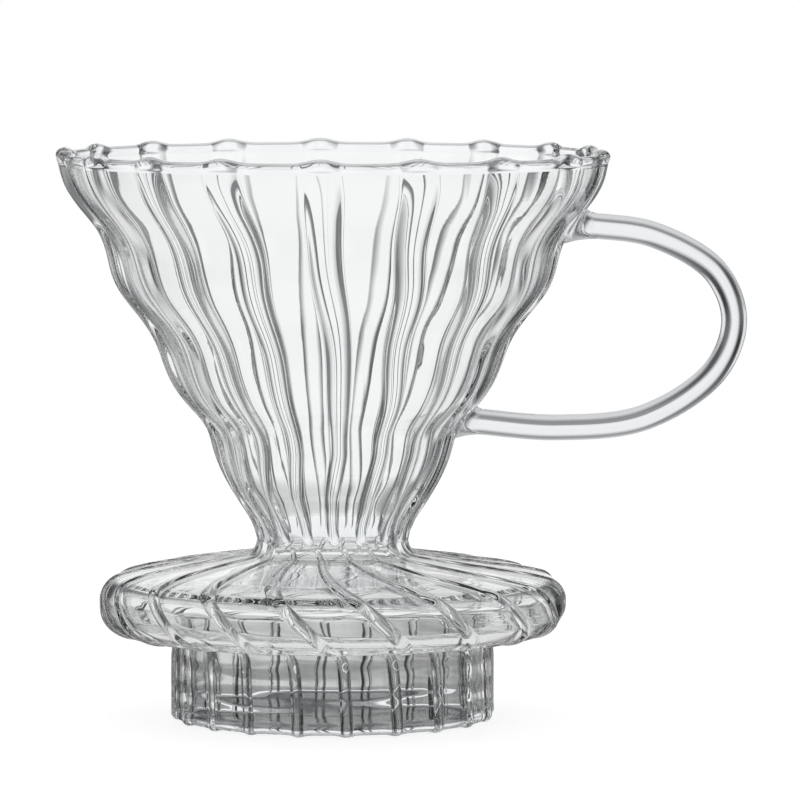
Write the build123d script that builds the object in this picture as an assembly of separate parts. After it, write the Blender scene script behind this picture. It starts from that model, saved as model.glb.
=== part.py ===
from build123d import *
import math
import os

os.makedirs("parts", exist_ok=True)

# Pour over dripper in clear borosilicate glass: a fluted filter cone with a rolled rim, fused through a
# narrow neck to a hollow flying-saucer base with a fluted collar and a rolled foot, and a bent rod handle
# welded on at its two ends. Origin at the centre of the foot, +Z up, handle towards +X. Millimetres.

# ---------------------------------------------------------------- driving dimensions
WALL = 2.2                 # glass thickness between the ribs

FOOT_TOP = 3.2             # the rolled foot stops here and the collar starts
FOOT_BULGE = 0.5           # the foot is this much wider than the collar's wall on each side
FOOT_ROUNDING = 1.2        # bend from the foot's sides to its flat underside
FOOT_SHOULDER = 0.4        # bend from the foot's sides to its top
COLLAR_RADIUS = 33.2
COLLAR_TOP = 16.0          # the collar stops here, just under the saucer
SAUCER_RADIUS = 48.2
SAUCER_EQUATOR = 24.3      # height of the saucer's widest line
NECK_RADIUS = 15.8
NECK_BOTTOM = 37.5         # the neck meets the saucer's dome here
NECK_TOP = 40.5            # the neck meets the cone here
CONE_TOP = 116.0           # the cone meets the rolled rim here

CONE_RIM_RADIUS = 57.95    # crest of the ribs at CONE_TOP, before the waves
CONE_SLOPE = 0.545         # radius gained for each millimetre of height
WAVE_LENGTH = 20.6         # the cone swells and narrows in soft rings
WAVE_CREST = 111.0         # height of the highest swelling
WAVE_TOP_HEIGHT = 1.0      # half of the swelling, at the rim
WAVE_NECK_HEIGHT = 0.35    # half of the swelling, at the neck
BELLY = (89.0, 7.0, 0.5)   # a fuller place over these rings: height, reach up and down, radius added
WAIST = (61.5, 4.2, -1.1)  # and a narrower one

RIB_SHARPNESS = 3          # 1 gives a sine wave, more gives a narrower rib
INNER_RIB_SHARE = 0.45     # height of a rib inside the wall, against its height outside

RIM_MIDDLE = 56.2          # the rolled rim's centre line
RIM_BEAD_RADIUS = 1.25
RIM_BEAD_HEIGHT = 0.95     # of its centre line above CONE_TOP
RIM_SWELLING_RADIUS = 1.75  # the lens of glass where a rib runs into the rim
RIM_SWELLING_RISE = 0.35

ROD_RADIUS = 2.7           # handle rod
UPPER_WELD_RADIUS = 4.2
LOWER_WELD_RADIUS = 3.6
WELD_DEPTH = 6.0           # a weld is made this deep, and the cone's wall then cuts it

SECTION_STEPS = 6          # points on one rib of a section

# Where the cone's ribs meet the rim, in degrees from +X: spaced by hand, so a little uneven.
CONE_RIB_PLACES = [
    16.6, 34.5, 55.2, 73.5, 93.5, 113.9, 133.9, 153.6, 173.5,
    193.5, 212.5, 229.5, 247.6, 268.0, 288.2, 308.3, 328.2, 352.0,
]
BASE_RIB_PLACES = [18.0 * i for i in range(20)]

# Outline of the base, from the neck over the dome, round the saucer's edge and down the collar:
# corners (radius, height) and the radius of the bend at each inner corner.
BASE_CORNERS = [
    (NECK_RADIUS, NECK_TOP),
    (NECK_RADIUS, 34.7),
    (40.5, 31.0),
    (SAUCER_RADIUS, 28.9),
    (SAUCER_RADIUS, 18.3),
    (COLLAR_RADIUS, 17.9),
    (COLLAR_RADIUS, 0.0),
]
BASE_BENDS = [3.0, 60.0, 5.2, 5.4, 1.2]

# How the cone's ribs sway on their way down: (height, degrees from their places, rib height).
CONE_TWIST = [
    (CONE_TOP, 0.0, 1.15),
    (112.0, 0.5, 1.15),
    (95.0, 2.0, 1.05),
    (78.0, 4.0, 0.9),
    (57.0, 5.5, 0.7),
    (48.0, 2.5, 0.6),
    (NECK_TOP, 3.0, 0.5),
    (NECK_BOTTOM, 5.0, 0.0),
]
# How the base's ribs turn about the axis: (height, degrees from their places, rib height).
BASE_TWIST = [
    (NECK_BOTTOM, -101.0, 0.0),
    (33.0, -92.0, 0.35),
    (30.0, -84.5, 0.5),
    (27.4, -81.0, 0.55),
    (21.3, -74.2, 0.55),
    (COLLAR_TOP, -68.0, 0.35),
    (FOOT_TOP, -66.3, 0.5),
]

# Centre line of the handle in the XZ plane: points joined by tangent arcs.
HANDLE_POINTS = [
    (55.2, 102.9),
    (67.0, 101.0),
    (79.6, 93.5),
    (83.6, 83.4),
    (79.6, 72.6),
    (65.0, 63.0),
    (47.0, 60.9),
    (31.2, 62.1),
]
HANDLE_START = (1.0, -0.05)   # direction in which the rod leaves the upper weld


# ---------------------------------------------------------------- shape of the glass
def rib(turn):
    """Height of a rib, 0 to 1, at an angle in radians that grows by 2 pi from rib to rib."""
    return (0.5 + 0.5 * math.cos(turn)) ** RIB_SHARPNESS


def cone_crest(z):
    """Radius of the cone's rib crests at height z."""
    share = (z - NECK_TOP) / (CONE_TOP - NECK_TOP)
    swelling = WAVE_NECK_HEIGHT + (WAVE_TOP_HEIGHT - WAVE_NECK_HEIGHT) * share
    wave = swelling * math.cos(2 * math.pi * (z - WAVE_CREST) / WAVE_LENGTH)
    for height, reach, added in (BELLY, WAIST):
        wave += added * math.exp(-((z - height) / reach) ** 2)
    return CONE_RIM_RADIUS - CONE_SLOPE * (CONE_TOP - z) + wave


def twist(table, z):
    """Angle in degrees and rib height at height z."""
    for (z1, angle1, height1), (z2, angle2, height2) in zip(table, table[1:]):
        if z2 <= z <= z1:
            share = (z1 - z) / (z1 - z2)
            return angle1 + share * (angle2 - angle1), height1 + share * (height2 - height1)
    return table[-1][1:]


def section(radius, z, normal, places, phase, rib_height, depth):
    """Closed fluted curve round the axis, moved along the outward normal by each rib and by -depth."""
    points = []
    for place, following in zip(places, places[1:] + [places[0] + 360.0]):
        for step in range(SECTION_STEPS):
            share = step / SECTION_STEPS
            angle = math.radians(phase + place + share * (following - place))
            offset = rib_height * rib(2 * math.pi * share) - depth
            reach = radius + normal[0] * offset
            points.append((reach * math.cos(angle), reach * math.sin(angle), z + normal[1] * offset))
    parameters = [float(i) for i in range(len(points) + 1)]
    return Wire([Edge.make_spline([Vector(*p) for p in points], periodic=True, parameters=parameters)])


def fluted_wall(stations, places):
    """Wall between an outer and an inner skin. A station is (radius, z, normal, phase, rib height)."""
    outer = Solid.make_loft([section(r, z, n, places, phase, height, 0.0)
                             for r, z, n, phase, height in stations])
    inner = Solid.make_loft([section(r, z, n, places, phase, -INNER_RIB_SHARE * height, WALL)
                             for r, z, n, phase, height in stations])
    return outer - inner, outer


def spread(start, end, count):
    return [start + (end - start) * i / (count - 1) for i in range(count)]


# ---------------------------------------------------------------- filter cone
def cone_station(z):
    angle, height = twist(CONE_TWIST, z)
    return cone_crest(z) - height, z, (1.0, 0.0), angle, height


def make_cone_wall():
    return fluted_wall([cone_station(z) for z in spread(NECK_TOP, CONE_TOP, 23)], CONE_RIB_PLACES)


def make_outlet_neck():
    """The cone runs down into a short throat, where its ribs die out."""
    top_radius, _, normal, _, _ = cone_station(NECK_TOP)
    stations = []
    for z in spread(NECK_BOTTOM, NECK_TOP, 5):
        share = (z - NECK_BOTTOM) / (NECK_TOP - NECK_BOTTOM)
        radius = NECK_RADIUS + (top_radius - NECK_RADIUS) * share ** 2
        stations.append((radius, z, normal, *twist(CONE_TWIST, z)))
    return fluted_wall(stations, CONE_RIB_PLACES)[0]


def make_rim_bead():
    """Rolled rim: a round bead with a lens of glass on every rib, flat where it meets the wall."""
    height = CONE_TOP + RIM_BEAD_HEIGHT
    bead = Solid.make_torus(RIM_MIDDLE, RIM_BEAD_RADIUS, Plane((0, 0, height)))
    for place in CONE_RIB_PLACES:
        x, y = RIM_MIDDLE * math.cos(math.radians(place)), RIM_MIDDLE * math.sin(math.radians(place))
        bead += Pos(x, y, height + RIM_SWELLING_RISE) * Sphere(RIM_SWELLING_RADIUS)
    above = Pos(0, 0, CONE_TOP + 10) * Box(200, 200, 20)
    return bead & above


# ---------------------------------------------------------------- base
base_outline = FilletPolyline(*[(r, z) for r, z in BASE_CORNERS], radius=BASE_BENDS)


def base_station(distance):
    """Station at a distance along the outline, with the outward normal on the left of its direction."""
    point = base_outline.position_at(distance, position_mode=PositionMode.LENGTH)
    along = base_outline.tangent_at(distance, position_mode=PositionMode.LENGTH)
    angle, height = twist(BASE_TWIST, point.Y)
    return point.X, point.Y, (-along.Y, along.X), angle, height


def outline_distance(z):
    """Distance along the outline at which it first comes down to height z."""
    low, high = 0.0, base_outline.length
    for _ in range(40):
        middle = (low + high) / 2
        if base_outline.position_at(middle, position_mode=PositionMode.LENGTH).Y > z:
            low = middle
        else:
            high = middle
    return high


def base_wall(z_start, z_end, count):
    distances = spread(outline_distance(z_start), outline_distance(z_end), count)
    return fluted_wall([base_station(d) for d in distances], BASE_RIB_PLACES)[0]


def make_foot_bead():
    """Rolled foot: a ring with round shoulders that stands on a narrow flat."""
    inner = COLLAR_RADIUS - WALL - FOOT_BULGE
    outer = COLLAR_RADIUS + FOOT_BULGE
    profile = Pos((inner + outer) / 2, FOOT_TOP / 2) * Rectangle(outer - inner, FOOT_TOP)
    profile = fillet(profile.vertices().group_by(Axis.Y)[0], FOOT_ROUNDING)
    profile = fillet(profile.vertices().group_by(Axis.Y)[-1], FOOT_SHOULDER)
    return revolve(Plane.XZ * profile, Axis.Z)


# ---------------------------------------------------------------- handle
def make_handle():
    """The rod, as one tube along tangent arcs, and the two plugs that its ends melt into."""
    points = [Vector(x, 0, z) for x, z in HANDLE_POINTS]
    tangent = Vector(HANDLE_START[0], 0, HANDLE_START[1])
    arcs = []
    for here, there in zip(points, points[1:]):
        arcs.append(Edge.make_tangent_arc(here, tangent, there))
        tangent = arcs[-1].tangent_at(1)
        print("handle arc radius", round(arcs[-1].radius, 1))
    path = Wire(arcs)
    start = Plane(origin=points[0], z_dir=path.tangent_at(0))
    end = Plane(origin=points[-1], z_dir=path.tangent_at(1))
    rod = Solid.sweep(Wire.make_circle(ROD_RADIUS, start), path=path)
    upper = weld_plug(Plane(origin=points[0], z_dir=-start.z_dir), UPPER_WELD_RADIUS)
    lower = weld_plug(end, LOWER_WELD_RADIUS)
    return rod, upper, lower


def weld_plug(plane, wide):
    """Trumpet of glass from the rod's end into the wall, the way that the plane faces."""
    rings = [(0.0, ROD_RADIUS), (1.5, ROD_RADIUS + 0.25 * (wide - ROD_RADIUS)), (3.5, wide),
             (WELD_DEPTH, wide * 1.05)]
    wires = [Wire.make_circle(radius, plane.offset(depth)) for depth, radius in rings]
    return Solid.make_loft(wires)


# ---------------------------------------------------------------- parts
cone_wall, cone_body = make_cone_wall()
handle_rod, upper_plug, lower_plug = make_handle()

parts = {
    "rim_bead": make_rim_bead(),
    "cone_wall": cone_wall,
    "outlet_neck": make_outlet_neck(),
    "saucer_top": base_wall(NECK_BOTTOM, SAUCER_EQUATOR, 19),
    "saucer_underside": base_wall(SAUCER_EQUATOR, COLLAR_TOP, 19),
    "collar": base_wall(COLLAR_TOP, FOOT_TOP, 5),
    "foot_bead": make_foot_bead(),
    "handle_rod": handle_rod,
    "handle_weld_upper": upper_plug - cone_body,
    "handle_weld_lower": lower_plug - cone_body,
}

for name, shape in parts.items():
    export_step(shape, f"parts/{name}.step")
    box = shape.bounding_box()
    print(name, "volume", round(shape.volume), "size", [round(v, 2) for v in tuple(box.size)])
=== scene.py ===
import math

import bpy
import numpy as np
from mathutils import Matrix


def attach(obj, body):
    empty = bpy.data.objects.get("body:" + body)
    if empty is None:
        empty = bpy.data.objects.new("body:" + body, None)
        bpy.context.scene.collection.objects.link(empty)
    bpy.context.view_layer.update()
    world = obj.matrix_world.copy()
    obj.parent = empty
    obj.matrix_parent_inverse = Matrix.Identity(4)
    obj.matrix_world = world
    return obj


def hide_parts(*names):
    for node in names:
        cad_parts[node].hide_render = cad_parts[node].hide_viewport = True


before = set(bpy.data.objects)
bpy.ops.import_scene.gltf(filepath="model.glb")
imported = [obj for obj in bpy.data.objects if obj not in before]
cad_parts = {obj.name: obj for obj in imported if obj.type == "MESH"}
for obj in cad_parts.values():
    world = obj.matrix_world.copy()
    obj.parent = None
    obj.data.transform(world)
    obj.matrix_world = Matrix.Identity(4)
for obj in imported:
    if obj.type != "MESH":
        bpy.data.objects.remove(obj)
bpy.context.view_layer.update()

MM = 0.001
TURN = 2 * math.pi
UP = 1.0
DOWN = -1.0

# ---------------------------------------------------------------- dimensions, mm
WALL = 2.2
FOOT_TOP = 3.2
COLLAR_RADIUS = 33.2
COLLAR_TOP = 16.0
SAUCER_RADIUS = 48.2
SAUCER_EQUATOR = 24.3
NECK_RADIUS = 15.8
NECK_BOTTOM = 37.5
NECK_TOP = 40.5
CONE_TOP = 116.0

CONE_RIM_RADIUS = 57.95
CONE_SLOPE = 0.545
WAVE_LENGTH = 20.6
WAVE_CREST = 111.0
WAVE_TOP_HEIGHT = 1.0
WAVE_NECK_HEIGHT = 0.35
BELLY = (89.0, 7.0, 0.5)   # a fuller place and a tighter one: height, reach, radius added
WAIST = (61.5, 4.2, -1.1)
RIBS_FULL = 107.0          # the ribs rise to their full height between the rim and here
THROAT = 3.2               # the cone's slope turns into the neck's side over this much above and below

CONE_INNER_SHARE = 0.15    # height of the ribs inside, as a share of the ribs outside
BASE_INNER_SHARE = 0.2
CONE_RIB_HALF_WIDTH = 0.205   # of a pitch
BASE_RIB_HALF_WIDTH = 0.115
RIB_EDGE = 0.01            # how soft the foot of a rib is, over its height

RIM_SWELL, RIM_RISE, RIM_HALF_HEIGHT = 0.3, 0.45, 1.1        # the rim grows wider and taller at each rib
FOOT_SWELL, FOOT_RISE, FOOT_HALF_HEIGHT = -0.12, 0.2, 1.4    # the foot grows narrower and taller
BEAD_OVERHANG = 0.2        # how far a bead stands out from the wall on each side

ROD_RADIUS = 2.7
UPPER_WELD_RADIUS = 4.2
LOWER_WELD_RADIUS = 3.6
WELD_DEPTH = 0.15          # the welds' mouths lie this far inside the wall's outer skin
WELD_FLARE = 2.2           # power of a weld's trumpet shape

# Outline of the base: corners (radius, height) from the neck down, and the bend at each inner corner.
BASE_CORNERS = [
    (NECK_RADIUS, NECK_TOP),
    (NECK_RADIUS, 34.7),
    (40.5, 31.0),
    (SAUCER_RADIUS, 28.9),
    (SAUCER_RADIUS, 18.3),
    (COLLAR_RADIUS, 17.9),
    (COLLAR_RADIUS, FOOT_TOP),
]
BASE_BENDS = [3.0, 60.0, 5.2, 5.4, 1.2]

# Where the ribs stand round the axis, in degrees from +X. The cone's are listed one by one, a little unevenly
# spaced.
CONE_RIB_PLACES = [
    16.6, 34.5, 55.2, 73.5, 93.5, 113.9, 133.9, 153.6, 173.5,
    193.5, 212.5, 229.5, 247.6, 268.0, 288.2, 308.3, 328.2, 352.0,
]
BASE_RIB_PLACES = [18.0 * i for i in range(20)]

# How the ribs sway on their way down: (height, degrees from their places, rib height). They follow the CAD
# model's ribs, and are lower near the rim, the neck and the saucer's lower bend.
CONE_TWIST = [
    (CONE_TOP, 0.0, 0.5),
    (112.0, 0.5, 0.8),
    (107.0, 0.9, 1.0),
    (95.0, 2.0, 0.95),
    (78.0, 4.0, 0.85),
    (57.0, 5.5, 0.6),
    (48.0, 2.5, 0.45),
    (NECK_TOP, 3.0, 0.38),
    (NECK_BOTTOM, 5.0, 0.0),
]
BASE_TWIST = [
    (NECK_BOTTOM, -101.0, 0.0),
    (35.0, -97.0, 0.25),
    (33.0, -92.0, 0.4),
    (30.0, -84.5, 0.4),
    (27.4, -81.0, 0.47),
    (21.3, -74.2, 0.57),
    (18.6, -71.3, 0.35),
    (17.5, -69.8, 0.2),
    (COLLAR_TOP, -68.0, 0.28),
    (13.0, -67.3, 0.6),
    (FOOT_TOP, -66.3, 0.6),
]
# The saucer's ribs are spread apart at the front: degrees, and the azimuth of the middle of the spread.
SAUCER_SPREAD = 6.3
SPREAD_MIDDLE = -87.0

# Centre line of the handle in the XZ plane, and its runs into the wall past both ends.
HANDLE_POINTS = [
    (55.2, 102.9),
    (67.0, 101.0),
    (79.6, 93.5),
    (83.6, 83.4),
    (79.6, 72.6),
    (65.0, 63.0),
    (47.0, 60.9),
    (31.2, 62.1),
]
HANDLE_LEAD_IN = (-10.0, 0.0, 0.5)
HANDLE_LEAD_OUT = (-10.0, 0.0, 1.2)

CONE_ROWS = 76
BASE_STEP = 0.55           # distance between rows of the base's mesh
# Mesh columns over half a pitch, as shares of the pitch from a rib's middle: close together on its slopes.
CONE_COLUMNS = [0.03, 0.06, 0.09, 0.12, 0.145, 0.165, 0.18, 0.195, 0.21, 0.225, 0.25, 0.29, 0.35, 0.42]
BASE_COLUMNS = [0.02, 0.04, 0.06, 0.075, 0.09, 0.1, 0.11, 0.12, 0.13, 0.145, 0.17, 0.22, 0.3, 0.4]
BEAD_SHOULDER_ROWS = 6
BEAD_ARC_ROWS = 22
HANDLE_STEPS = 20          # rings between two points of the handle
AROUND_ROD = 40            # vertices in a ring of the rod or of a weld
WELD_ROWS = 12
WELD_CAP_RINGS = (0.75, 0.5, 0.25)   # rings of the weld's hidden mouth, as shares of its radius

# ---------------------------------------------------------------- stage, metres
FLOOR_RADIUS = 0.5
FLOOR_DROP = 0.00002       # the floor lies this far under the foot, so that their faces don't fight
FLOOR_LIGHT = 0.77
COAT_DARK = 0.32           # gloss colour of the floor's coat in its painted shade, behind the handle and close to the foot
COAT_LIT = 0.35            # and what it gains elsewhere
COAT_ROUGHNESS = 0.12
COAT_RANGE = (0.42, 0.68)  # the coat sets in between these steps of Layer Weight's Facing
FOOT_SHADE = (0.05, 0.15)  # distance from the axis over which the foot's shade ends
PAINTED_SHADOW_PLACE = (0.08, 0.2, 0.0)     # centre of a painted shadow in the floor's gloss coat behind the handle, standing in for a black flag that is not built
PAINTED_SHADOW_SIZE = (0.07, 0.14)
PAINTED_SHADOW_EDGE = (0.7, 1.3)     # its soft edge, in its own size

PANELS = 8.0               # soft light panels round the horizon
PANEL_LIGHT = 0.99
OVERHEAD_LIGHT = 0.7
GROUND_LIGHT = 0.16
GAP_LIGHT = 0.03
DAYLIGHT = (0.965, 0.99, 1.015, 1.0)   # tint where the room is dim

CAMERA_DISTANCE = 1.31
CAMERA_HEIGHT = 0.172
AIM = (0.01406, 0.0, 0.0666)
FRAME_WIDTH = 0.16667      # width of the view at the aim
SENSOR_WIDTH = 36.0
LIGHT_BOUNCES = 40         # glass inside glass needs many
GLOSSY_BOUNCES = 12


# ---------------------------------------------------------------- small helpers
def spread(start, end, count):
    """Evenly spaced values from start to end."""
    return [start + (end - start) * i / (count - 1) for i in range(count)]


def ease(share):
    """0 to 1 with flat ends."""
    share = min(max(share, 0.0), 1.0)
    return share * share * (3 - 2 * share)


def along_table(table, z):
    """Reads a (height, value, value) table at a height, top first."""
    for (z1, *values1), (z2, *values2) in zip(table, table[1:]):
        if z2 <= z <= z1:
            share = (z1 - z) / (z1 - z2)
            return [a + share * (b - a) for a, b in zip(values1, values2)]
    return table[0][1:] if z > table[0][0] else table[-1][1:]


def smooth_table(table, z, reach=2.0):
    """The same, averaged over a few heights, so that nothing kinks."""
    heights = spread(z - reach, z + reach, 9)
    return np.mean([along_table(table, h) for h in heights], axis=0)


# ---------------------------------------------------------------- the wall's outline
def cone_crest(z):
    """Radius over the cone's ribs: a straight slope with soft rings, a belly and a waist."""
    share = (z - NECK_TOP) / (CONE_TOP - NECK_TOP)
    swelling = WAVE_NECK_HEIGHT + (WAVE_TOP_HEIGHT - WAVE_NECK_HEIGHT) * share
    wave = swelling * math.cos(TURN * (z - WAVE_CREST) / WAVE_LENGTH)
    for height, reach, added in (BELLY, WAIST):
        wave += added * math.exp(-((z - height) / reach) ** 2)
    return CONE_RIM_RADIUS - CONE_SLOPE * (CONE_TOP - z) + wave


def cone_outline(count):
    """Points (radius, height) of the panels between the ribs, from the rim down to the neck."""
    points = []
    for z in spread(CONE_TOP, NECK_TOP, count):
        points.append((cone_crest(z) - smooth_table(CONE_TWIST, min(z, RIBS_FULL))[1], z))
    return points


def base_outline(step):
    """Points of the base's outline at about the same distance: straight runs joined by arcs."""
    corners = [np.array(c) for c in BASE_CORNERS]
    points = []
    here = corners[0]
    for before, corner, after, bend in zip(corners, corners[1:], corners[2:], BASE_BENDS):
        come = (corner - before) / np.linalg.norm(corner - before)
        leave = (after - corner) / np.linalg.norm(after - corner)
        turn = math.acos(np.clip(come @ leave, -1, 1))
        reach = bend * math.tan(turn / 2)
        start = corner - come * reach
        count = max(2, int(np.linalg.norm(start - here) / step) + 1)
        points += [here + (start - here) * s for s in spread(0, 1, count)[:-1]]
        side = (leave - come * (come @ leave)) / math.sin(turn)
        count = max(5, int(bend * turn / step) + 1)
        for angle in spread(0, turn, count)[:-1]:
            points.append(start + come * bend * math.sin(angle) + side * bend * (1 - math.cos(angle)))
        here = corner + leave * reach
    count = int(np.linalg.norm(corners[-1] - here) / step) + 1
    points += [here + (corners[-1] - here) * s for s in spread(0, 1, count)]
    return [tuple(p) for p in points]


# ---------------------------------------------------------------- the wall as one continuous grid
def lens_rib(share, half_width):
    """Outer shape of a rib, 0 to 1, over the pitch: a lens with a clear edge on each side."""
    away = np.abs((share + 0.5) % 1.0 - 0.5)
    lens = 1 - (away / half_width) ** 2
    return (lens + np.sqrt(lens * lens + RIB_EDGE)) / 2


def cone_rib(share):
    return lens_rib(share, CONE_RIB_HALF_WIDTH)


def base_rib(share):
    return lens_rib(share, BASE_RIB_HALF_WIDTH)


def soft_rib(share, sharpness):
    """A rib with long soft flanks, 0 to 1, over the pitch."""
    return (0.5 + 0.5 * np.cos(TURN * share)) ** sharpness


def inner_rib(share):
    return soft_rib(share, 4.0)


def rim_rib(share):
    return soft_rib(share, 3.4)


def foot_rib(share):
    return soft_rib(share, 4.0)


def wander(index, z, seed):
    """Each rib strays a little from its line, as hand-worked glass does. Degrees."""
    return (0.5 * np.sin(z / 9.0 + 2.4 * index + seed)
            + 0.3 * np.sin(z / 4.7 + 4.1 * index + 2 * seed))


def inner_ripple(azimuth, z):
    """Unevenness of the blown base inside: low waves that run round it, mostly in the collar."""
    strength = 0.02 + 0.05 * ease((SAUCER_EQUATOR - z) / 8)
    return strength * (np.sin(1.15 * z + 0.9 * np.sin(2 * azimuth + 0.4) + 0.25 * np.sin(8 * azimuth))
                       + 0.3 * np.sin(2.1 * z + 2 * azimuth))


def saucer_spread(azimuths, z):
    """How far the saucer's ribs move round for their spread at the front. Degrees."""
    return SAUCER_SPREAD * ease((z - COLLAR_TOP) / 5) * np.sin(np.radians(azimuths - SPREAD_MIDDLE))


def rib_columns(places, half_columns):
    """Turn of each mesh column, counted in ribs, and the azimuth of its place in degrees."""
    columns = [-u for u in reversed(half_columns)] + [0.0] + half_columns + [0.5]
    turns = np.array([i + u for i in range(len(places)) for u in columns])
    marks = np.array([places[-1] - 360.0, *places, places[0] + 360.0])
    return turns, np.interp(turns, np.arange(-1, len(places) + 1), marks)


def skins(path, normals, places, half_columns, table, seed, outer_shape):
    """Outer and inner skin points over a run of the outline. The columns follow the ribs."""
    turns, azimuths = rib_columns(places, half_columns)
    index = np.round(turns) % len(places)
    outer, inner = [], []
    for (r, z), (nr, nz) in zip(path, normals):
        angle, height = smooth_table(table, z, 1.0)
        inner_share = CONE_INNER_SHARE if z > NECK_BOTTOM else BASE_INNER_SHARE
        here = azimuths + angle
        if z <= NECK_BOTTOM:
            here = here + saucer_spread(here, z)
        azimuth = np.radians(here + wander(index, z, seed) * min(height / 0.8, 1.0))
        depth = WALL + inner_share * height * inner_rib(turns)
        if z < NECK_BOTTOM:
            depth = depth + inner_ripple(azimuth, z) * ease((NECK_BOTTOM - z) / 5)
        for skin, offset in ((outer, height * outer_shape(turns)), (inner, -depth)):
            reach = r + nr * offset
            skin.append(np.stack([reach * np.cos(azimuth), reach * np.sin(azimuth), z + nz * offset], axis=1))
    return np.array(outer), np.array(inner)


def wall_outline():
    """Panel outline of the whole wall from the rim to the foot, with its outward normals."""
    path = np.array(cone_outline(CONE_ROWS)[:-1] + base_outline(BASE_STEP))
    # the throat leads the cone's slope into the neck's straight side
    widest = np.interp(-NECK_TOP - THROAT, -path[:CONE_ROWS, 1], path[:CONE_ROWS, 0])
    for point in path:
        turn = (point[1] - NECK_TOP + THROAT) / (2 * THROAT)
        if 0.0 < turn < 1.0:
            point[0] = NECK_RADIUS + (widest - NECK_RADIUS) * turn ** 2
    along = np.gradient(path, axis=0)
    along /= np.linalg.norm(along, axis=1)[:, None]
    normals = np.stack([-along[:, 1], along[:, 0]], axis=1)
    level = np.array([ease((z - NECK_TOP) / 10) for z in path[:, 1]])[:, None]
    normals = normals * (1 - level) + np.array([1.0, 0.0]) * level
    return path, normals / np.linalg.norm(normals, axis=1)[:, None]


def grid_normals(grid, outward):
    """Unit normals of a skin, rows down and columns round the axis."""
    down = np.gradient(grid, axis=0)
    round_axis = np.roll(grid, -1, axis=1) - np.roll(grid, 1, axis=1)
    normal = np.cross(down, round_axis)
    normal /= np.linalg.norm(normal, axis=2)[:, :, None]
    return normal * outward


def ring_mesh(name, section, normals, seam_rows, slot):
    """Closed ring from section rows: each row is one loop round the axis. seam_rows start hidden bands."""
    section = np.asarray(section)
    rows, columns = section.shape[:2]
    faces, seams = [], []
    for i in range(rows):
        below = (i + 1) % rows
        for j in range(columns):
            right = (j + 1) % columns
            faces.append((i * columns + j, below * columns + j, below * columns + right, i * columns + right))
            seams.append(i in seam_rows)
    return glass_piece(new_mesh(name, section.reshape(-1, 3), faces), name, normals, seams, slot)


def new_mesh(name, vertices, faces):
    """Mesh from vertices in mm."""
    mesh = bpy.data.meshes.new(name)
    mesh.from_pydata((np.array(vertices) * MM).tolist(), [], faces)
    mesh.update()
    return mesh


def glass_piece(mesh, name, normals, seams, slot):
    """Object of clear glass with smooth skins. Its seam faces are flat and carry the clear seam material."""
    mesh.polygons.foreach_set("use_smooth", [True] * len(mesh.polygons))
    mesh.polygons.foreach_set("material_index", [1 if hidden else 0 for hidden in seams])
    flat = np.asarray(normals).reshape(-1, 3)
    loop_normals = []
    for face, hidden in zip(mesh.polygons, seams):
        for vertex in face.vertices:
            loop_normals.append(tuple(face.normal) if hidden else tuple(flat[vertex]))
    mesh.normals_split_custom_set(loop_normals)
    piece = bpy.data.objects.new(name, mesh)
    bpy.context.scene.collection.objects.link(piece)
    piece.data.materials.append(MATERIALS[slot])
    piece.data.materials.append(MATERIALS["seam"])
    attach(piece, "root")
    return piece


# ---------------------------------------------------------------- materials
def node(tree, kind, **settings):
    """A new shader node. A setting is one of its sockets or else one of its properties."""
    made = tree.nodes.new(kind)
    for key, value in settings.items():
        if key in made.inputs:
            made.inputs[key].default_value = value
        else:
            setattr(made, key, value)
    return made


GLASS_IOR = 1.473          # borosilicate
DULLEST = 0.012            # roughness of its least polished patches
PATCH_RANGE = (0.35, 0.75)
PATCH_TINT = 0.985


def glass_material(name, tint, ripple_scale, ripple, fine_scale, fine):
    """Clear glass: its surface carries broad ripples and finer draw marks, and is a trace less polished and
    less clear in patches. ripple and fine are depths in metres."""
    material = bpy.data.materials.new(name)
    material.use_nodes = True
    tree = material.node_tree
    shader = tree.nodes["Principled BSDF"]
    shader.inputs["Transmission Weight"].default_value = 1.0
    shader.inputs["IOR"].default_value = GLASS_IOR
    coordinates = node(tree, "ShaderNodeTexCoord")

    broad = node(tree, "ShaderNodeTexNoise", Scale=ripple_scale, Detail=1.0, Roughness=0.4)
    tree.links.new(coordinates.outputs["Object"], broad.inputs["Vector"])
    marks = node(tree, "ShaderNodeTexNoise", Scale=fine_scale, Detail=2.0, Roughness=0.5)
    tree.links.new(coordinates.outputs["Object"], marks.inputs["Vector"])

    bump = node(tree, "ShaderNodeBump", Strength=1.0, Distance=ripple)
    tree.links.new(broad.outputs["Fac"], bump.inputs["Height"])
    bump_fine = node(tree, "ShaderNodeBump", Strength=1.0, Distance=fine)
    tree.links.new(marks.outputs["Fac"], bump_fine.inputs["Height"])
    tree.links.new(bump.outputs["Normal"], bump_fine.inputs["Normal"])
    tree.links.new(bump_fine.outputs["Normal"], shader.inputs["Normal"])

    polish = node(tree, "ShaderNodeMapRange")
    polish.inputs["From Min"].default_value, polish.inputs["From Max"].default_value = PATCH_RANGE
    polish.inputs["To Min"].default_value = 0.0
    polish.inputs["To Max"].default_value = DULLEST
    tree.links.new(broad.outputs["Fac"], polish.inputs["Value"])
    tree.links.new(polish.outputs["Result"], shader.inputs["Roughness"])

    shade = node(tree, "ShaderNodeMix", data_type="RGBA")
    shade.inputs["A"].default_value = (*tint, 1.0)
    shade.inputs["B"].default_value = (*[c * PATCH_TINT for c in tint], 1.0)
    tree.links.new(broad.outputs["Fac"], shade.inputs["Factor"])
    tree.links.new(shade.outputs["Result"], shader.inputs["Base Color"])
    return material


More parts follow.
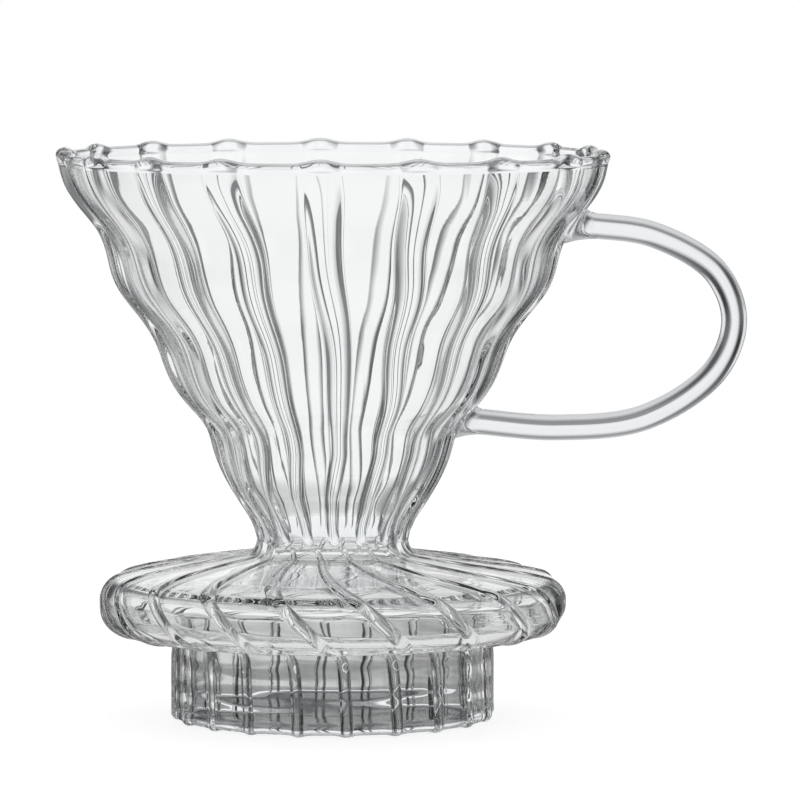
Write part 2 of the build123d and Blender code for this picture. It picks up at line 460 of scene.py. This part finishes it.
def seam_material():
    """Fused seam between two sections: glass runs on through it, so it bends no light."""
    material = bpy.data.materials.new("fused_seam")
    material.use_nodes = True
    tree = material.node_tree
    tree.nodes.remove(tree.nodes["Principled BSDF"])
    clear = tree.nodes.new("ShaderNodeBsdfTransparent")
    tree.links.new(clear.outputs["BSDF"], tree.nodes["Material Output"].inputs["Surface"])
    return material


MATERIALS = {
    "blown_glass": glass_material("blown_glass", (0.985, 0.989, 0.99), 90.0, 0.00005, 420.0, 0.0000015),
    "rolled_glass": glass_material("rolled_glass", (0.955, 0.968, 0.98), 140.0, 0.00005, 500.0, 0.000004),
    # the rod's glass is tinted well darker than the body's: partly the glass's own faint tint, mostly painted
    # shade that darkens the handle
    "rod_glass": glass_material("rod_glass", (0.86, 0.875, 0.89), 60.0, 0.00006, 300.0, 0.000004),
    "seam": seam_material(),
}


# ---------------------------------------------------------------- body of the dripper
path, path_normals = wall_outline()


def row_at(z):
    """First row of the wall at or below a height."""
    return int(np.argmax(path[:, 1] <= z + 1e-6))


NECK_END = row_at(NECK_BOTTOM)


def skins_with_normals(first, last, *ribs):
    """Outer and inner skin over a run of the wall's rows, and their normals."""
    outer, inner = skins(path[first:last + 1], path_normals[first:last + 1], *ribs)
    return outer, inner, grid_normals(outer, 1.0), grid_normals(inner, -1.0)


cone_skins = skins_with_normals(0, NECK_END, CONE_RIB_PLACES, CONE_COLUMNS, CONE_TWIST, 0.0, cone_rib)
base_skins = skins_with_normals(
    NECK_END, len(path) - 1, BASE_RIB_PLACES, BASE_COLUMNS, BASE_TWIST, 1.0, base_rib)


def wall_piece(name, grids, offset, z_start, z_end, slot):
    """One section of the wall: down the outer skin, across a seam, up the inner skin, across the other.
    offset is the wall's row where the grids begin."""
    first, last = row_at(z_start) - offset, row_at(z_end) - offset
    outer, inner, outer_normals, inner_normals = grids
    section = list(outer[first:last + 1]) + list(inner[first:last + 1][::-1])
    normals = list(outer_normals[first:last + 1]) + list(inner_normals[first:last + 1][::-1])
    count = last - first + 1
    return ring_mesh(name, section, normals, {count - 1, 2 * count - 1}, slot)


def bead_piece(name, wall_outer, wall_inner, seam_z, up, swell, rise, half_height, ribs_shape):
    """Rolled edge on the wall's last row: a round bead that changes into a lens at each rib."""
    middle = (wall_outer + wall_inner) / 2
    radius = np.linalg.norm(middle[:, :2], axis=1)
    direction = middle[:, :2] / radius[:, None]
    half_wall = (np.linalg.norm(wall_outer[:, :2], axis=1) - np.linalg.norm(wall_inner[:, :2], axis=1)) / 2
    bulge = half_wall + BEAD_OVERHANG + swell * ribs_shape
    height = half_height + rise * ribs_shape
    section = []

    def row(across, z):
        section.append(np.concatenate([direction * (radius + across)[:, None], z[:, None]], axis=1))

    for share in spread(0, 1, BEAD_SHOULDER_ROWS)[:-1]:
        row(half_wall + (bulge - half_wall) * ease(share), seam_z + up * height * share)
    for angle in spread(0, math.pi, BEAD_ARC_ROWS):
        row(bulge * math.cos(angle), seam_z + up * (height + height * math.sin(angle)))
    for share in spread(1, 0, BEAD_SHOULDER_ROWS)[1:]:
        row(-half_wall - (bulge - half_wall) * ease(share), seam_z + up * height * share)
    if up == UP:
        section = section[::-1]
    section = np.array(section)
    return ring_mesh(name, section, grid_normals(section, 1.0), {len(section) - 1}, "rolled_glass")


rim_ribs = rim_rib(rib_columns(CONE_RIB_PLACES, CONE_COLUMNS)[0])
foot_ribs = foot_rib(rib_columns(BASE_RIB_PLACES, BASE_COLUMNS)[0])

body = {
    "cone_wall": wall_piece("cone_glass", cone_skins, 0, CONE_TOP, NECK_TOP, "blown_glass"),
    "outlet_neck": wall_piece("neck_glass", cone_skins, 0, NECK_TOP, NECK_BOTTOM, "rolled_glass"),
    "saucer_top": wall_piece(
        "saucer_top_glass", base_skins, NECK_END, NECK_BOTTOM, SAUCER_EQUATOR, "blown_glass"),
    "saucer_underside": wall_piece(
        "saucer_underside_glass", base_skins, NECK_END, SAUCER_EQUATOR, COLLAR_TOP, "blown_glass"),
    "collar": wall_piece("collar_glass", base_skins, NECK_END, COLLAR_TOP, FOOT_TOP, "blown_glass"),
    "rim_bead": bead_piece(
        "rim_glass", cone_skins[0][0], cone_skins[1][0], CONE_TOP, UP,
        RIM_SWELL, RIM_RISE, RIM_HALF_HEIGHT, rim_ribs),
    "foot_bead": bead_piece(
        "foot_glass", base_skins[0][-1], base_skins[1][-1], FOOT_TOP, DOWN,
        FOOT_SWELL, FOOT_RISE, FOOT_HALF_HEIGHT, foot_ribs),
}
for cad_node, piece in body.items():
    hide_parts(cad_node)


# ---------------------------------------------------------------- handle
def blend(first, second, start, end, place):
    """The point at a place on the straight line that is at first at start and at second at end."""
    return (first * (end - place) + second * (place - start)) / (end - start)


def handle_line(steps):
    """Smooth curve through the handle's points (centripetal Catmull-Rom), steps rings from point to point."""
    points = np.array([(x, 0.0, z) for x, z in HANDLE_POINTS])
    points = [points[0] + HANDLE_LEAD_IN, *points, points[-1] + HANDLE_LEAD_OUT]
    line = []
    for a, b, c, d in zip(points, points[1:], points[2:], points[3:]):
        spans = [np.linalg.norm(q - p) ** 0.5 for p, q in ((a, b), (b, c), (c, d))]
        ta, tb, tc, td = [sum(spans[:i]) for i in range(4)]
        for t in spread(tb, tc, steps + 1)[:-1]:
            ab, bc, cd = blend(a, b, ta, tb, t), blend(b, c, tb, tc, t), blend(c, d, tc, td, t)
            line.append(blend(blend(ab, bc, ta, tc, t), blend(bc, cd, tb, td, t), tb, tc, t))
    line.append(points[-2])
    return np.array(line)


def spokes_across(direction):
    """Unit vectors round a direction in the XZ plane, for one ring of the rod or of a weld."""
    side = np.array((0.0, 1.0, 0.0))
    up = np.cross(direction, side)
    angles = np.arange(AROUND_ROD) * TURN / AROUND_ROD
    return np.outer(np.cos(angles), up) + np.outer(np.sin(angles), side)


def band_faces(rows):
    """Quads between neighbouring rings."""
    faces = []
    for i in range(rows - 1):
        here, below = i * AROUND_ROD, (i + 1) * AROUND_ROD
        for j in range(AROUND_ROD):
            right = (j + 1) % AROUND_ROD
            faces.append((here + j, below + j, below + right, here + right))
    return faces


def rod(name, line):
    """Closed round rod along a line in the XZ plane, with a seam at each end."""
    along = np.gradient(line, axis=0)
    along /= np.linalg.norm(along, axis=1)[:, None]
    spokes = np.array([spokes_across(direction) for direction in along])
    vertices = (line[:, None, :] + spokes * ROD_RADIUS).reshape(-1, 3)
    faces = band_faces(len(line))
    seams = [False] * len(faces) + [True, True]
    last = (len(line) - 1) * AROUND_ROD
    faces.append(tuple(range(AROUND_ROD)))
    faces.append(tuple(last + j for j in reversed(range(AROUND_ROD))))
    return glass_piece(new_mesh(name, vertices, faces), name, spokes, seams, "rod_glass")


handle = handle_line(HANDLE_STEPS)
handle_rod = rod("handle_rod_glass", handle)
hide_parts("handle_rod")


def outer_radius(azimuth, z):
    """Radius of the cone's outer skin, read from its grid."""
    position = np.interp(-z, -path[:CONE_ROWS, 1], np.arange(CONE_ROWS))
    low = int(position)
    share = position - low
    ring = cone_skins[0][low] * (1 - share) + cone_skins[0][low + 1] * share
    around = np.arctan2(ring[:, 1], ring[:, 0])
    return np.interp(azimuth, np.sort(around), np.hypot(ring[:, 0], ring[:, 1])[np.argsort(around)])


def under_skin(point):
    """The point moved along X to just inside the wall's outer skin, on the handle's side."""
    y, z = point[1:]
    x = 40.0                # a first guess, which the rounds improve
    for _ in range(12):
        x = math.sqrt(max(outer_radius(math.atan2(y, x), z) ** 2 - y * y, 1.0))
    return np.array((x - WELD_DEPTH, y, z))


def weld(name, centre, direction, mouth_radius):
    """Melted plug between the rod's end and the wall: a trumpet whose mouth lies on the wall."""
    spokes = spokes_across(direction / np.linalg.norm(direction))
    rod_end = centre + spokes * ROD_RADIUS
    mouth = np.array([under_skin(centre + spoke * mouth_radius) for spoke in spokes])
    rings = []
    for share in spread(0, 1, WELD_ROWS):
        ring = rod_end + (mouth - rod_end) * share
        straight = ROD_RADIUS + (mouth_radius - ROD_RADIUS) * share
        flared = ROD_RADIUS + (mouth_radius - ROD_RADIUS) * share ** WELD_FLARE
        ring[:, 1:] += (centre[None, 1:] - ring[:, 1:]) * (1 - flared / straight)
        rings.append(ring)
    for share in WELD_CAP_RINGS:
        rings.append(np.array([under_skin(centre + spoke * mouth_radius * share) for spoke in spokes]))
    vertices = [*np.array(rings).reshape(-1, 3), under_skin(centre)]
    last, tip = (len(rings) - 1) * AROUND_ROD, len(rings) * AROUND_ROD

    faces = band_faces(len(rings))
    shown = (WELD_ROWS - 1) * AROUND_ROD
    faces += [(last + (j + 1) % AROUND_ROD, last + j, tip) for j in range(AROUND_ROD)]
    faces.append(tuple(range(AROUND_ROD)))
    seams = [i >= shown for i in range(len(faces))]
    mesh = new_mesh(name, vertices, faces)
    return glass_piece(mesh, name, shown_normals(mesh, seams), seams, "rod_glass")


def shown_normals(mesh, seams):
    """Vertex normals from the faces that aren't seams, each counted by its area."""
    normals = np.zeros((len(mesh.vertices), 3))
    for face, hidden in zip(mesh.polygons, seams):
        if not hidden:
            for vertex in face.vertices:
                normals[vertex] += np.array(face.normal) * face.area
    length = np.linalg.norm(normals, axis=1)
    length[length == 0] = 1
    return normals / length[:, None]


upper_weld = weld("upper_weld_glass", handle[0], handle[0] - handle[1], UPPER_WELD_RADIUS)
lower_weld = weld("lower_weld_glass", handle[-1], handle[-1] - handle[-2], LOWER_WELD_RADIUS)
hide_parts("handle_weld_upper")
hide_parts("handle_weld_lower")


# ---------------------------------------------------------------- stage, light and camera
def make_floor():
    """Round pale table. To the eye it is plain and pale. What the glass sees of it is a pale sheet under a
    coat of gloss, which reflects the studio at low angles."""
    around = 128
    angles = [TURN * i / around for i in range(around)]
    rim = [(FLOOR_RADIUS * math.cos(angle), FLOOR_RADIUS * math.sin(angle), -FLOOR_DROP) for angle in angles]
    mesh = bpy.data.meshes.new("floor")
    mesh.from_pydata(rim, [], [tuple(range(around))])
    floor = bpy.data.objects.new("floor", mesh)
    bpy.context.scene.collection.objects.link(floor)
    material = bpy.data.materials.new("pale_floor")
    material.use_nodes = True
    tree = material.node_tree
    pale = tree.nodes["Principled BSDF"]
    pale.inputs["Base Color"].default_value = (0.5, 0.5, 0.5, 1.0)
    pale.inputs["Roughness"].default_value = 0.9
    pale.inputs["Emission Color"].default_value = (1.0, 1.0, 1.0, 1.0)
    pale.inputs["Emission Strength"].default_value = 0.8

    # painted shade: the coat's gloss is darker close to the foot and in a painted shadow behind the handle,
    # as under a black flag, which is not built
    place = tree.nodes.new("ShaderNodeTexCoord").outputs["Object"]
    from_foot = vector_length(tree, place, (0.0, 0.0, 0.0), (1.0, 1.0, 0.0))
    from_painted_shadow = vector_length(tree, place, PAINTED_SHADOW_PLACE, (1 / PAINTED_SHADOW_SIZE[0], 1 / PAINTED_SHADOW_SIZE[1], 0.0))
    lit = math_node(tree, "MULTIPLY", smooth_range(tree, from_foot, *FOOT_SHADE),
                    smooth_range(tree, from_painted_shadow, *PAINTED_SHADOW_EDGE))
    gloss = tree.nodes.new("ShaderNodeBsdfGlossy")
    gloss.inputs["Roughness"].default_value = COAT_ROUGHNESS
    tree.links.new(math_node(tree, "MULTIPLY_ADD", lit, COAT_LIT, COAT_DARK), gloss.inputs["Color"])
    lamp = tree.nodes.new("ShaderNodeEmission")
    lamp.inputs["Strength"].default_value = FLOOR_LIGHT
    facing = tree.nodes.new("ShaderNodeLayerWeight")
    facing.inputs["Blend"].default_value = 0.5
    coat = smooth_range(tree, facing.outputs["Facing"], *COAT_RANGE)
    sheet = mix_shaders(tree, coat, lamp.outputs["Emission"], gloss.outputs["BSDF"])
    # towards its edge the sheet thins out, so that no edge shows through the glass
    clear = tree.nodes.new("ShaderNodeBsdfTransparent").outputs["BSDF"]
    sheet = mix_shaders(tree, smooth_range(tree, from_foot, 0.6 * FLOOR_RADIUS, FLOOR_RADIUS), sheet, clear)
    seen = tree.nodes.new("ShaderNodeLightPath").outputs["Is Camera Ray"]
    surface = mix_shaders(tree, seen, sheet, pale.outputs["BSDF"])
    tree.links.new(surface, tree.nodes["Material Output"].inputs["Surface"])
    mesh.materials.append(material)


def mix_shaders(tree, factor, first, second):
    """The first shader where the factor is 0, the second where it is 1."""
    made = tree.nodes.new("ShaderNodeMixShader")
    for value, socket in zip((factor, first, second), made.inputs):
        tree.links.new(value, socket)
    return made.outputs["Shader"]


def vector_length(tree, vector, centre, scale):
    """Distance from a centre, with each axis scaled."""
    moved = tree.nodes.new("ShaderNodeVectorMath")
    moved.operation = "SUBTRACT"
    tree.links.new(vector, moved.inputs[0])
    moved.inputs[1].default_value = centre
    scaled = tree.nodes.new("ShaderNodeVectorMath")
    scaled.operation = "MULTIPLY"
    tree.links.new(moved.outputs["Vector"], scaled.inputs[0])
    scaled.inputs[1].default_value = scale
    length = tree.nodes.new("ShaderNodeVectorMath")
    length.operation = "LENGTH"
    tree.links.new(scaled.outputs["Vector"], length.inputs[0])
    return length.outputs["Value"]


def smooth_range(tree, value, start, end):
    """0 below start, 1 above end, soft between."""
    made = tree.nodes.new("ShaderNodeMapRange")
    made.interpolation_type = "SMOOTHSTEP"
    made.inputs["From Min"].default_value = start
    made.inputs["From Max"].default_value = end
    tree.links.new(value, made.inputs["Value"])
    return made.outputs["Result"]


def math_node(tree, operation, first, second=None, third=None, clamp=False):
    """A sum on numbers or sockets. Clamped, it stays between 0 and 1."""
    made = tree.nodes.new("ShaderNodeMath")
    made.operation = operation
    made.use_clamp = clamp
    for socket, value in zip(made.inputs, (first, second, third)):
        if value is None:
            continue
        if isinstance(value, (int, float)):
            socket.default_value = value
        else:
            tree.links.new(value, socket)
    return made.outputs[0]


def make_world():
    """White studio: soft light panels stand all round at every 45 degrees, with dim gaps between them, a soft
    light hangs overhead and the ground gives a little back. The eye sees plain white behind the object."""
    world = bpy.data.worlds.new("studio")
    bpy.context.scene.world = world
    world.use_nodes = True
    tree = world.node_tree
    background = tree.nodes["Background"]
    coordinates = tree.nodes.new("ShaderNodeTexCoord")
    split = tree.nodes.new("ShaderNodeSeparateXYZ")
    tree.links.new(coordinates.outputs["Generated"], split.inputs[0])
    x, y, z = split.outputs
    # a panel is brightest in its middle, and fades out above the horizon and under it
    azimuth = math_node(tree, "ARCTAN2", y, x)
    cosine = math_node(tree, "COSINE", math_node(tree, "MULTIPLY", azimuth, PANELS))
    panel = math_node(tree, "MULTIPLY_ADD", cosine, 0.8, 0.62, clamp=True)
    above = math_node(tree, "MULTIPLY_ADD", z, -3.0, 1.9, clamp=True)
    below = math_node(tree, "MULTIPLY_ADD", z, 2.5, 2.4, clamp=True)
    panel = math_node(tree, "MULTIPLY", panel, math_node(tree, "MULTIPLY", above, below))
    panel = math_node(tree, "MULTIPLY", panel, PANEL_LIGHT)
    overhead = math_node(tree, "POWER", math_node(tree, "MAXIMUM", z, 0.0), 1.6)
    under = math_node(tree, "MULTIPLY_ADD", z, -6.0, 0.5, clamp=True)
    ground = math_node(tree, "MULTIPLY", under, GROUND_LIGHT)
    dim = math_node(tree, "MAXIMUM", ground, GAP_LIGHT)
    room = math_node(tree, "MULTIPLY_ADD", overhead, OVERHEAD_LIGHT, dim)
    light = math_node(tree, "MAXIMUM", panel, room)
    seen = tree.nodes.new("ShaderNodeLightPath").outputs["Is Camera Ray"]
    strength = math_node(tree, "MAXIMUM", light, seen)
    tree.links.new(strength, background.inputs["Strength"])
    shade = tree.nodes.new("ShaderNodeMix")
    shade.data_type = "RGBA"
    shade.inputs["A"].default_value = DAYLIGHT
    shade.inputs["B"].default_value = (1.0, 1.0, 1.0, 1.0)
    tree.links.new(strength, shade.inputs["Factor"])
    tree.links.new(shade.outputs["Result"], background.inputs["Color"])


def make_camera():
    """Long lens, a little above the rim."""
    data = bpy.data.cameras.new("camera")
    camera = bpy.data.objects.new("camera", data)
    bpy.context.scene.collection.objects.link(camera)
    rise = CAMERA_HEIGHT - AIM[2]
    camera.location = (AIM[0], AIM[1] - CAMERA_DISTANCE, CAMERA_HEIGHT)
    camera.rotation_euler = (math.pi / 2 - math.atan2(rise, CAMERA_DISTANCE), 0.0, 0.0)
    data.sensor_width = SENSOR_WIDTH
    data.lens = SENSOR_WIDTH * math.hypot(CAMERA_DISTANCE, rise) / FRAME_WIDTH
    data.clip_start = 0.05
    bpy.context.scene.camera = camera


make_floor()
make_world()
make_camera()

scene = bpy.context.scene
scene.view_settings.view_transform = "Standard"
scene.cycles.max_bounces = LIGHT_BOUNCES
scene.cycles.transmission_bounces = LIGHT_BOUNCES
scene.cycles.glossy_bounces = GLOSSY_BOUNCES
scene.cycles.transparent_max_bounces = LIGHT_BOUNCES
